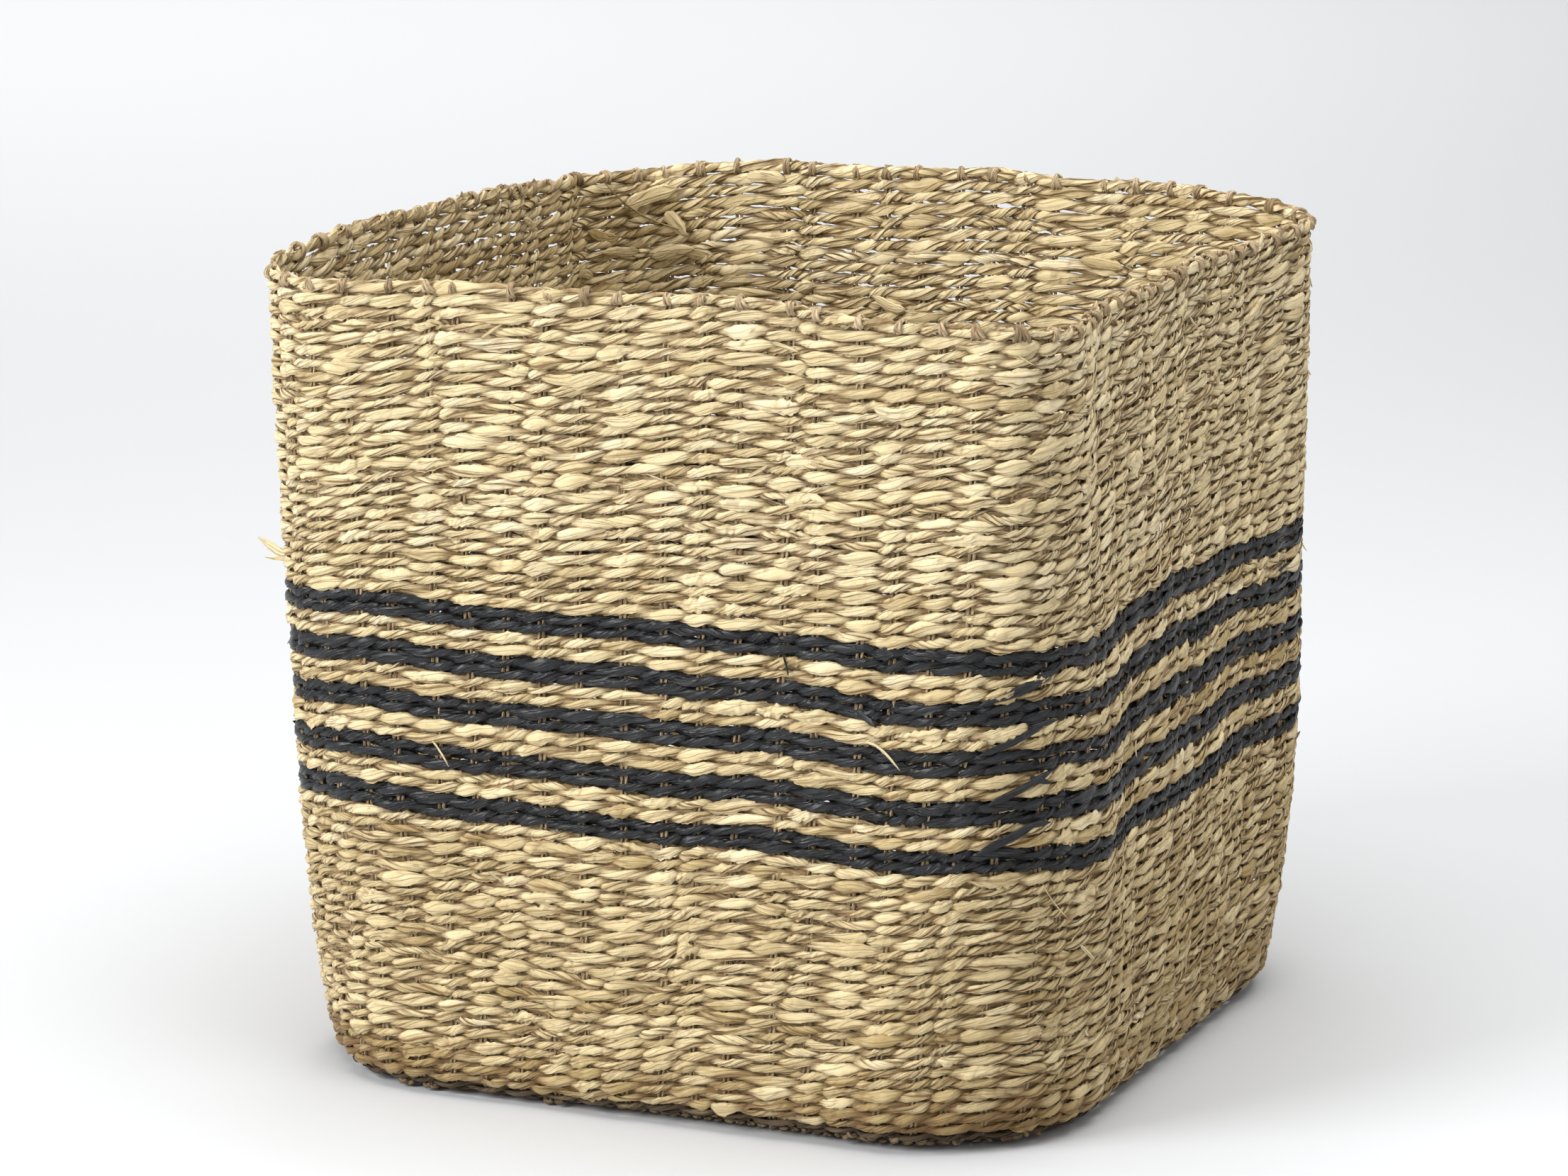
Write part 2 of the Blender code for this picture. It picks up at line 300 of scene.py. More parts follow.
def tube(centre, side, out, sections, closed=True):
    """Points of a strand, (sections, ROUND, 3), with how deep in a crease each one is."""
    count = len(centre)
    if closed:
        run = unit(np.roll(centre, -1, axis=0) - np.roll(centre, 1, axis=0))
    else:
        run = unit(np.gradient(centre, axis=0))
    side = unit(side - (side * run).sum(-1, keepdims=True) * run)
    out = np.cross(run, side) * np.sign((np.cross(run, side) * out).sum(-1, keepdims=True))
    starts = np.concatenate([np.zeros((count, 1)), np.cumsum(sections["spans"], -1)[:, :2]], -1)
    angle = starts[:, LEAF] + sections["spans"][:, LEAF] * SHARE + sections["twist"][:, None]
    radii = np.broadcast_to(RADIUS, (count, ROUND)).copy()
    radii[:, TUCKED] -= sections["depth"]
    noise = 0.7 * ring_noise(count, ROUND, 4) + 0.5 * ring_noise(count, ROUND, 1)
    radii = radii * (1 + noise * sections["crumple"][:, None])
    up = np.sin(angle) * radii * sections["half"][:, None]
    forth = np.cos(angle) * radii * sections["thick"][:, None]
    points = centre[:, None] + side[:, None] * up[..., None] + out[:, None] * forth[..., None]
    # crease: how much painted shade the material lays into each point, where a leaf tucks under, at its free
    # edge and in dents
    crease = np.clip(-noise * sections["crumple"][:, None] * 4.5 - 0.15, 0, 0.8)
    crease[:, TUCKED] = np.clip(sections["depth"] / 0.20, 0, 1.2)
    crease[:, EDGES] = 0.55 * np.roll(crease[:, TUCKED], -1, axis=1)
    return points, crease


class Mesh:
    """Collects tubes and makes them one object."""

    def __init__(self):
        self.points, self.quads, self.ends = [], [], []
        self.tone, self.crease, self.depth, self.uv = [], [], [], []
        self.size = 0

    def add(self, points, crease, tone, depth=None, closed=True):
        rows, cols = points.shape[:2]
        index = self.size + np.arange(rows * cols).reshape(rows, cols)
        below = np.roll(index, -1, axis=1)
        if closed:
            ahead, ahead_below = np.roll(index, -1, axis=0), np.roll(below, -1, axis=0)
        else:
            index_0, below_0 = index[:-1], below[:-1]
            ahead, ahead_below = index[1:], below[1:]
            self.ends += [index[0], index[-1][::-1]]
            index, below = index_0, below_0
        quads = np.stack([index, below, ahead_below, ahead], -1).reshape(-1, 4)
        length = np.linalg.norm(np.diff(points.mean(1), axis=0), axis=-1).sum() / max(rows - 1, 1)
        start = rng.uniform(0, 50)
        u0 = np.broadcast_to(np.arange(len(index))[:, None] * length + start, index.shape)
        v0 = np.broadcast_to(np.arange(cols)[None] / cols, index.shape)
        u = np.stack([u0, u0, u0 + length, u0 + length], -1)
        v = np.stack([v0, v0 + 1 / cols, v0 + 1 / cols, v0], -1)
        self.uv.append(np.stack([u, v], -1).reshape(-1, 2))
        self.points.append(points.reshape(-1, 3))
        self.quads.append(quads)
        self.tone.append(np.repeat(tone, cols))
        self.crease.append(crease.reshape(-1))
        self.depth.append(np.zeros(rows * cols) if depth is None else depth.reshape(-1))
        self.size += rows * cols

    def build(self, name, material, slot, nodes):
        points = np.concatenate(self.points)
        quads = np.concatenate(self.quads)
        uv = np.concatenate(self.uv)
        fans = self.ends
        mesh = bpy.data.meshes.new(name)
        loops = np.concatenate([quads.reshape(-1)] + [np.asarray(f)[::-1] for f in fans])
        sizes = np.concatenate([np.full(len(quads), 4)] + [np.array([len(f)]) for f in fans])
        starts = np.concatenate([[0], np.cumsum(sizes)[:-1]])
        mesh.vertices.add(len(points))
        mesh.vertices.foreach_set("co", points.astype(np.float32).reshape(-1))
        mesh.loops.add(len(loops))
        mesh.loops.foreach_set("vertex_index", loops.astype(np.int32))
        mesh.polygons.add(len(sizes))
        mesh.polygons.foreach_set("loop_start", starts.astype(np.int32))
        mesh.update(calc_edges=True)
        ends = np.zeros(2 * len(mesh.edges), np.int32)
        mesh.edges.foreach_get("vertices", ends)
        column = ends.reshape(-1, 2) % ROUND
        creased = (column[:, 0] == column[:, 1]) & np.isin(column[:, 0], np.concatenate([TUCKED, EDGES]))
        sharp = mesh.attributes.new("sharp_edge", "BOOLEAN", "EDGE")
        sharp.data.foreach_set("value", creased)
        layer = mesh.uv_layers.new(name="strand")
        all_uv = np.zeros((len(loops), 2), np.float32)
        all_uv[: len(uv)] = uv
        layer.data.foreach_set("uv", all_uv.reshape(-1))
        for label, values in (("tone", self.tone), ("crease", self.crease), ("depth", self.depth)):
            attribute = mesh.attributes.new(label, "FLOAT", "POINT")
            attribute.data.foreach_set("value", np.concatenate(values).astype(np.float32))
        mesh.materials.append(material)
        mesh.shade_smooth()
        made = bpy.data.objects.new(name, mesh)
        bpy.context.scene.collection.objects.link(made)
        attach(made, "root")
        if nodes:
            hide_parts(*nodes)
        return made


class Row:
    """One course: two strands twisted round every stake and round each other."""

    def __init__(self, climb, pitch, style, number):
        self.climb, self.pitch, self.style, self.number = climb, pitch, style, number
        self.strands = [strand_sections(style, STAKES, STEPS) for _ in range(2)]
        self.shift = rng.normal(0, 0.00020, STAKES)
        corner = np.abs((np.arange(STAKES) + 0.5) % PER_SIDE - PER_SIDE / 2) / (PER_SIDE / 2)
        right = np.exp(-(((np.arange(STAKES) - 30) / 11.0) ** 4))
        for sections in self.strands:
            sections["crumple"] = sections["crumple"] * smooth_steps(1 + 0.7 * right, STEPS)
        stain = max(1 - climb / 0.042, 0) * (0.25 + 1.1 * corner**3)
        self.stain = smooth_steps(stain * rng.uniform(0.5, 1.7, STAKES), STEPS)
        # painted shade: the lower wall, and the right wall's most, is toned darker as if in shade; the lowest
        # rows at the corners are really brown
        painted_shade_and_foot_brown = -(1.6 + 1.3 * right) * max(1 - climb / 0.30, 0)
        painted_shade_and_foot_brown = painted_shade_and_foot_brown - 5.0 * max(1 - climb / 0.030, 0) * corner**2
        self.painted_shade_and_foot_brown = smooth_steps(painted_shade_and_foot_brown * rng.uniform(0.7, 1.3, STAKES), STEPS)  # painted shade, darker towards the foot and most on the right wall, with the real brown of the foot's corners

    def room(self):
        """The height each stake's crossing wants: mostly the strand outside's."""
        outside = (np.arange(STAKES) + self.number) % 2 == 0
        first, second = self.strands[0]["belly"], self.strands[1]["belly"]
        return np.where(outside, 0.7 * first + 0.3 * second, 0.3 * first + 0.7 * second)

    def draw(self, mesh):
        count = STAKES * STEPS
        place = np.arange(count) / STEPS
        shift = smooth_steps(self.shift, STEPS)
        shake = smooth_steps(rng.normal(0, 0.20, STAKES), STEPS)
        reach = smooth_steps(rng.uniform(0.75, 1.15, STAKES), STEPS)
        level = settle(place, self.climb)
        for k, sections in enumerate(self.strands):
            other = self.strands[1 - k]
            phase = math.pi * (place + k + self.number + shake)
            forward = np.cos(phase)
            swell = smooth_steps(rng.exponential(0.00022, STAKES), STEPS)
            bias = 0.22 * (sections["half"] - other["half"]) + swell * forward
            normal = FRONT_OFFSET * forward * (1 + 0.25 * (1 - forward**2)) + bias
            vertical = CROSS_OFFSET * reach * np.sin(phase)
            full = sections["half"] + INSIDE_FULLER * (forward < 0)
            half = CROSS_HALF + (full - CROSS_HALF) * np.abs(forward) ** 0.8
            at = place + lean(place, self.climb) * level
            up = self.climb + (sag(place, self.climb) + shift) * level + vertical
            point, t, n, b = wall(at, up)
            middle = point + n * (bulge(place, self.climb) * level)[:, None]
            points, crease = tube(middle + n * normal[:, None], b, n, dict(sections, half=half))
            # depth: painted shade for points that lie back in the weave, plus the real stain near the foot
            reach_out = np.abs(((points - middle[:, None]) * n[:, None]).sum(-1))
            depth = np.clip(1 - reach_out / 0.0028 + self.stain[:, None], 0, 1)
            # painted shade on the inside of the left wall
            shaded = SHADED_INSIDE * np.clip(-forward, 0, 1) * np.exp(-(((place - 67.0) / 10.0) ** 4))
            mesh.add(points, crease, sections["tone"] + self.painted_shade_and_foot_brown - shaded, depth)


def pack(rows, share=0.50):
    """Move the rows at each stake so that thick crossings take room from thin ones."""
    room = np.array([row.room() for row in rows])
    pitch = np.array([row.pitch for row in rows])[:, None]
    room *= pitch.sum() / room.sum(0)
    packed = np.cumsum(room, axis=0) - room / 2
    even = np.cumsum(pitch, axis=0) - pitch / 2
    for row, shift in zip(rows, share * (packed - even)):
        row.shift = row.shift + (np.roll(shift, 1) + 2 * shift + np.roll(shift, -1)) / 4


# ---------------------------------------------------------------- materials


def node(tree, kind, **inputs):
    made = tree.nodes.new(kind)
    for label, value in inputs.items():
        made.inputs[label].default_value = value
    return made


def leaf_material(name, dark, mid, light, crease_colour, roughness, sheen, streak, shine=0.35):
    """Dry leaf: tone from strand to strand, lengthwise fibres, brown painted shade in the creases and deep in
    the weave, and small flecks.
    """
    made = bpy.data.materials.new(name)
    made.use_nodes = True
    tree = made.node_tree
    links = tree.links
    shader = tree.nodes["Principled BSDF"]
    uv = tree.nodes.new("ShaderNodeUVMap")
    uv.uv_map = "strand"
    place = tree.nodes.new("ShaderNodeTexCoord")

    def attribute(label):
        made_node = tree.nodes.new("ShaderNodeAttribute")
        made_node.attribute_name = label
        return made_node.outputs["Fac"]

    def scaled_uv(scale):
        made_node = tree.nodes.new("ShaderNodeVectorMath")
        made_node.operation = "MULTIPLY"
        made_node.inputs[1].default_value = scale
        links.new(uv.outputs["UV"], made_node.inputs[0])
        return made_node.outputs[0]

    def noise(vector, scale, detail, roughness_of):
        made_node = node(tree, "ShaderNodeTexNoise", Scale=scale, Detail=detail, Roughness=roughness_of)
        links.new(vector, made_node.inputs["Vector"])
        return made_node

    def ranged(value, low, high, most):
        made_node = node(tree, "ShaderNodeMapRange")
        made_node.inputs["From Min"].default_value = low
        made_node.inputs["From Max"].default_value = high
        made_node.inputs["To Max"].default_value = most
        links.new(value, made_node.inputs["Value"])
        return made_node.outputs["Result"]

    def browned(colour, factor):
        """The colour with the crease colour over it."""
        made_node = tree.nodes.new("ShaderNodeMix")
        made_node.data_type = "RGBA"
        made_node.inputs["B"].default_value = crease_colour
        links.new(factor, made_node.inputs["Factor"])
        links.new(colour, made_node.inputs["A"])
        return made_node.outputs["Result"]

    fibres = noise(scaled_uv((90.0, 26.0, 1.0)), 1.0, 3.0, 0.6).outputs["Fac"]
    longer = scaled_uv((42.0, 7.0, 1.0))
    bent = tree.nodes.new("ShaderNodeVectorMath")
    bent.operation = "MULTIPLY_ADD"
    bent.inputs[1].default_value = (1.1, 1.1, 1.1)
    links.new(noise(longer, 0.8, 2.0, 0.6).outputs["Color"], bent.inputs[0])
    links.new(longer, bent.inputs[2])
    folds = tree.nodes.new("ShaderNodeTexVoronoi")
    folds.feature = "DISTANCE_TO_EDGE"
    folds.voronoi_dimensions = "2D"
    folds.inputs["Scale"].default_value = 1.0
    links.new(bent.outputs[0], folds.inputs["Vector"])
    blotch = noise(place.outputs["Object"], 85.0, 2.0, 0.5).outputs["Fac"]
    fleck = noise(place.outputs["Object"], 900.0, 1.0, 0.5).outputs["Fac"]

    def maths(operation, a, b, clamp=False):
        made_node = tree.nodes.new("ShaderNodeMath")
        made_node.operation = operation
        made_node.use_clamp = clamp
        for socket, value in zip(made_node.inputs, (a, b)):
            if isinstance(value, (int, float)):
                socket.default_value = value
            else:
                links.new(value, socket)
        return made_node.outputs[0]

    # tone holds the strands' own tone and the painted shade of the lower wall and of the left wall's inside
    shade = maths("MULTIPLY", attribute("tone"), 0.16)
    shade = maths("ADD", shade, maths("MULTIPLY", maths("SUBTRACT", fibres, 0.5), streak))
    shade = maths("ADD", shade, maths("MULTIPLY", maths("SUBTRACT", blotch, 0.5), 0.55))
    shade = maths("ADD", shade, 0.5, clamp=True)
    ramp = tree.nodes.new("ShaderNodeValToRGB")
    ramp.color_ramp.elements[0].color = dark
    ramp.color_ramp.elements[1].color = light
    middle = ramp.color_ramp.elements.new(0.5)
    middle.color = mid
    links.new(shade, ramp.inputs["Fac"])

    panel = ranged(folds.outputs["Distance"], 0.0, 0.11, 1.0)
    # painted shade: the bump's fold creases and the strands' creases are darkened with the crease colour
    fold_line = maths("POWER", maths("SUBTRACT", 1.0, panel), 2.0)
    fold_line = maths("MULTIPLY", fold_line, maths("SUBTRACT", blotch, 0.30))
    line = maths("MULTIPLY", maths("POWER", attribute("crease"), 2.2), 0.9)
    line = maths("ADD", line, maths("MULTIPLY", fold_line, 1.1), clamp=True)
    colour = browned(ramp.outputs["Color"], line)
    # painted shade deep in the weave, and the real stain near the foot
    colour = browned(colour, ranged(attribute("depth"), 0.36, 1.0, 0.95))
    colour = browned(colour, ranged(fleck, 0.66, 0.78, 0.35))
    links.new(colour, shader.inputs["Base Color"])

    ribs = node(tree, "ShaderNodeBump", Strength=0.7, Distance=0.00030)
    links.new(fibres, ribs.inputs["Height"])
    creases = node(tree, "ShaderNodeBump", Strength=0.8, Distance=0.00045)
    links.new(panel, creases.inputs["Height"])
    links.new(ribs.outputs["Normal"], creases.inputs["Normal"])
    links.new(creases.outputs["Normal"], shader.inputs["Normal"])
    rough = maths("MULTIPLY", fibres, 0.25)
    rough = maths("ADD", rough, roughness - 0.125)
    links.new(rough, shader.inputs["Roughness"])
    shader.inputs["Specular IOR Level"].default_value = shine
    shader.inputs["Sheen Weight"].default_value = sheen
    shader.inputs["Sheen Roughness"].default_value = 0.5
    return made


straw = leaf_material(
    "straw_leaf",
    dark=(0.44, 0.315, 0.130, 1),
    mid=(0.81, 0.665, 0.385, 1),
    light=(0.89, 0.79, 0.56, 1),
    crease_colour=(0.21, 0.120, 0.042, 1),
    roughness=0.58,
    sheen=0.05,
    streak=0.9,
)
charcoal = leaf_material(
    "black_leaf",
    dark=(0.004, 0.0045, 0.0055, 1),
    mid=(0.010, 0.011, 0.0135, 1),
    light=(0.034, 0.037, 0.044, 1),
    crease_colour=(0.003, 0.003, 0.004, 1),
    roughness=0.36,
    sheen=0.03,
    streak=1.6,
    shine=0.45,
)
umber = leaf_material(
    "brown_leaf",
    dark=(0.12, 0.080, 0.042, 1),
    mid=(0.25, 0.175, 0.095, 1),
    light=(0.45, 0.34, 0.20, 1),
    crease_colour=(0.06, 0.036, 0.016, 1),
    roughness=0.70,
    sheen=0.05,
    streak=0.9,
)
cord = leaf_material(
    "stake_cord",
    dark=(0.22, 0.145, 0.070, 1),
    mid=(0.40, 0.285, 0.155, 1),
    light=(0.62, 0.48, 0.30, 1),
    crease_colour=(0.14, 0.085, 0.038, 1),
    roughness=0.70,
    sheen=0.05,
    streak=1.2,
)

# ---------------------------------------------------------------- the wefts


PER_PIECE = 4  # courses in one object


def weave_walls():
    """All the courses: the lower wall, the bands, the upper wall and the rim."""
    rows, pieces = [], []

    def zone(name, low, high, count, style, material, slot, replaced):
        pitch = (high - low) / count
        for i in range(count):
            if i % PER_PIECE == 0:
                label = name if count <= PER_PIECE else f"{name}_{i // PER_PIECE + 1}"
                pieces.append((label, [], material, slot, replaced))
            rows.append(Row(low + (i + 0.5) * pitch, pitch, style, len(rows)))
            pieces[-1][1].append(rows[-1])

    foot, band = climb_at(BANDS_FOOT), BAND_COURSES * COURSE
    pitch = foot / LOWER_COURSES
    edge = FOOT_COURSES * pitch
    brown = (BROWN, umber, "base_weave")
    natural = (NATURAL, straw, "natural_weave")
    black = (BLACK, charcoal, "black_weave")
    zone("foot_weave", 0.0, edge, FOOT_COURSES, *brown, "lower_wall")
    zone("lower_weave", edge, foot, LOWER_COURSES - FOOT_COURSES, *natural, "lower_wall")
    for i in range(2 * BLACK_BANDS - 1):
        colour, look = ("natural", natural) if i % 2 else ("black", black)
        label = f"{colour}_band_{i // 2 + 1}"
        zone(f"{label}_weave", foot + i * band, foot + (i + 1) * band, BAND_COURSES, *look, label)
    zone("upper_weave", climb_at(BANDS_TOP), climb_at(TOP), UPPER_COURSES, *natural, "upper_wall")
    zone("rim_weave", climb_at(TOP), climb_at(RIM_HEIGHT), 1, *natural, "rim_border")
    pack(rows)
    for name, members, material, slot, replaced in pieces:
        mesh = Mesh()
        for row in members:
            row.draw(mesh)
        mesh.build(name, material, slot, [replaced])


def cord_sections(count, half, turns, depth, crumple, tone):
    """A thin cord of three even leaves."""
    return {
        "half": np.full(count, half),
        "thick": np.full(count, half),
        "twist": 2 * math.pi * (turns * np.arange(count) / count + rng.random()),
        "spans": np.full((count, 3), 2 * math.pi / 3),
        "depth": np.full((count, 3), depth),
        "crumple": np.full(count, crumple),
        "tone": np.full(count, tone),
    }


STAKE_CORD_HALF = 0.00100
STAKE_CORD_APART = 0.060  # from the stake's middle to each of its cords, in stake spacings


def stakes():
    """Each stake is two thin cords side by side; its ends turn over the rim."""
    top = climb_at(RIM_HEIGHT) - 0.001
    climbs = np.linspace(0.0, top, 90)
    names = {0: "front", 1: "right", 2: "back", 3: "left"}
    for side, label in names.items():
        mesh = Mesh()
        for k in range(side * PER_SIDE, (side + 1) * PER_SIDE):
            lateral = rng.normal(0, 0.02)
            for cord_side in (-1, 1):
                place = k + lateral + cord_side * STAKE_CORD_APART
                level = settle(place, climbs)
                at = place + lean(np.full(len(climbs), float(k)), climbs) * level
                point, t, n, b = wall(at, climbs)
                point = point + n * (bulge(np.full(len(climbs), float(k)), climbs) * level)[:, None]
                tone = rng.normal(0, 0.8)
                sections = cord_sections(len(climbs), STAKE_CORD_HALF, 24, 0.16, 0.03, tone)
                points, crease = tube(point, t, n, sections, closed=False)
                mesh.add(points, crease, sections["tone"], closed=False)
        mesh.build(f"stakes_{label}", cord, "stake_cord", [])


# The way of a stake's end over the rim, as (outward, upward) from the middle of the rim course, in metres.
HOOK = np.array(
    [(-0.0008, -0.0034), (-0.0026, -0.0018), (-0.0029, 0.0010), (-0.0014, 0.0029), (0.0012, 0.0031),
     (0.0033, 0.0020), (0.0038, -0.0001), (0.0028, -0.0018)]
)


def smooth_path(points, count):
    """A Catmull-Rom curve through the points."""
    padded = np.vstack([2 * points[0] - points[1], points, 2 * points[-1] - points[-2]])
    out = []
    for s in np.linspace(0, len(points) - 1 - 1e-6, count):
        i = int(s)
        t = s - i
        p0, p1, p2, p3 = padded[i : i + 4]
        bend, twist = 2 * p0 - 5 * p1 + 4 * p2 - p3, 3 * p1 - p0 - 3 * p2 + p3
        out.append(0.5 * (2 * p1 + (p2 - p0) * t + bend * t**2 + twist * t**3))
    return np.array(out)


def rim_knots():
    """The stakes' ends, each two cords, turned over the rim course."""
    mesh = Mesh()
    middle = climb_at(TOP) + COURSE / 2
    for k in range(STAKES):
        slant = rng.normal(0.0008, 0.0012)
        size = rng.uniform(0.84, 1.04) * (1.22 if rng.random() < 0.12 else 1.0)
        tone = rng.normal(1.3, 1.2)
        cords = 3 if rng.random() < 0.4 else 2
        crossing = rng.random() < 0.6
        if k == PER_SIDE - 1:  # the thick dull knot on the front right corner
            size, tone, cords = 1.3, -2.2, 4
        for j in range(cords):
            hook = HOOK * size * rng.uniform(0.95, 1.05) + rng.normal(0, 0.00022, HOOK.shape)
            path = smooth_path(hook, 24)
            at = np.full(len(path), float(k))
            aside = (j - (cords - 1) / 2) * 0.0019
            place = at + lean(at, middle)
            point, t, n, b = wall(place, np.full(len(path), middle) + sag(at, middle))
            share = np.linspace(-1, 1, len(path))
            centre = point + n * (path[:, :1] + bulge(at, middle)[:, None]) + b * path[:, 1:]
            centre = centre + t * (slant * share + aside * (-share * 1.3 if crossing else 1))[:, None]
            half = rng.uniform(0.0009, 0.00125)
            sections = cord_sections(len(path), half, 1.0, 0.12, 0.10, tone + rng.normal(0, 0.5))
            points, crease = tube(centre, t, n, sections, closed=False)
            mesh.add(points, crease, sections["tone"], closed=False)
    mesh.build("rim_knots", cord, "stake_cord", [])


def replace_stakes():
    """The CAD stakes are stood for by the cords."""
    names = [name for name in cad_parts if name.startswith("stake_")]
    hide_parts(*[n for n in names if "front_back" in n])
    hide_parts(*[n for n in names if "left_right" in n])


# Where the base's strands turn back at the foot: from one place to another, and how many.
TURNED = [
    (1.0, 3.4, 9), (6.5, 7.2, 2), (15.0, 18.6, 11), (19.5, 21.5, 6), (25.0, 33.0, 8),
    (40.0, 44.0, 10), (52.0, 59.0, 12), (64.0, 70.0, 7), (74.0, 78.5, 8),
]
LEAST_Z = 0.0004  # nothing loose goes below this


def turned_ends():
    """Small dark loops where the base's strands turn back, under the edge of the foot."""
    mesh = Mesh()
    for low, high, count in TURNED:
        for place in rng.uniform(low, high, count):
            climb = rng.uniform(0.0045, 0.0085)
            point, t, n, b = (v[0] for v in wall([place], [climb]))
            radius = rng.uniform(0.0014, 0.0022)
            angle = np.linspace(-0.5, math.pi + 0.5, 12)[:, None]
            tilt = unit(t + rng.normal(0, 0.5) * b)
            centre = point + n * 0.0016 + radius * (tilt * np.cos(angle) + n * 0.9 * np.sin(angle))
            sections = cord_sections(12, rng.uniform(0.00105, 0.00145), 0.4, 0.15, 0.08, rng.normal(-0.6, 0.8))
            side, out = np.tile(b, (12, 1)), np.tile(n, (12, 1))
            points, crease = tube(centre, side, out, sections, closed=False)
            points[..., 2] = np.maximum(points[..., 2], LEAST_Z)
            mesh.add(points, crease, sections["tone"], closed=False)
    mesh.build("turned_ends", umber, "base_weave", [])


def loose(
    mesh, place, climb, length, slope, lift, half, thick, tone, inside=False, curl=0.0, start=0.0022
):
    """A strand or leaf that lies on the wall from one place and stands off it at its end.

    It starts the distance start off the stakes and ends that much and lift off them.
    """
    count = max(int(abs(length) / 0.0016), 8)
    share = np.linspace(0, 1, count)
    width = 2 * (FOOT_WIDTH + FOOT_DEPTH) / STAKES
    at = place + length * share / width
    up = climb + abs(length) * (slope * share + curl * np.sin(math.pi * share * 1.2))
    point, t, n, b = wall(at, up)
    away = start + lift * share**2
    way = -1 if inside else 1
    centre = point + n * (way * away)[:, None]
    taper = np.minimum(1, 3.5 * (1 - share) + 0.15) * np.minimum(1, 5 * share + 0.25)
    sections = cord_sections(count, half, 0.35, 0.15, 0.08, tone)
    sections["half"] = half * taper
    sections["thick"] = thick * taper**0.5
    sections["spans"] = np.tile(np.array([0.50, 0.28, 0.22]) * 2 * math.pi, (count, 1))
    sections["twist"] = rng.uniform(-0.4, 0.4) + rng.uniform(-0.9, 0.9) * share
    points, crease = tube(centre, b, n * way, sections, closed=False)
    points[..., 2] = np.maximum(points[..., 2], LEAST_Z)
    mesh.add(points, crease, sections["tone"], closed=False)


# Broad scraps inside the back left corner: place, height, length, slope and half width.
BROAD_SCRAPS = [
    (59.4, 0.381, -0.034, 0.26, 0.0048),
    (58.2, 0.376, -0.014, -0.9, 0.0040),
    (58.6, 0.352, -0.028, 0.16, 0.0034),
]


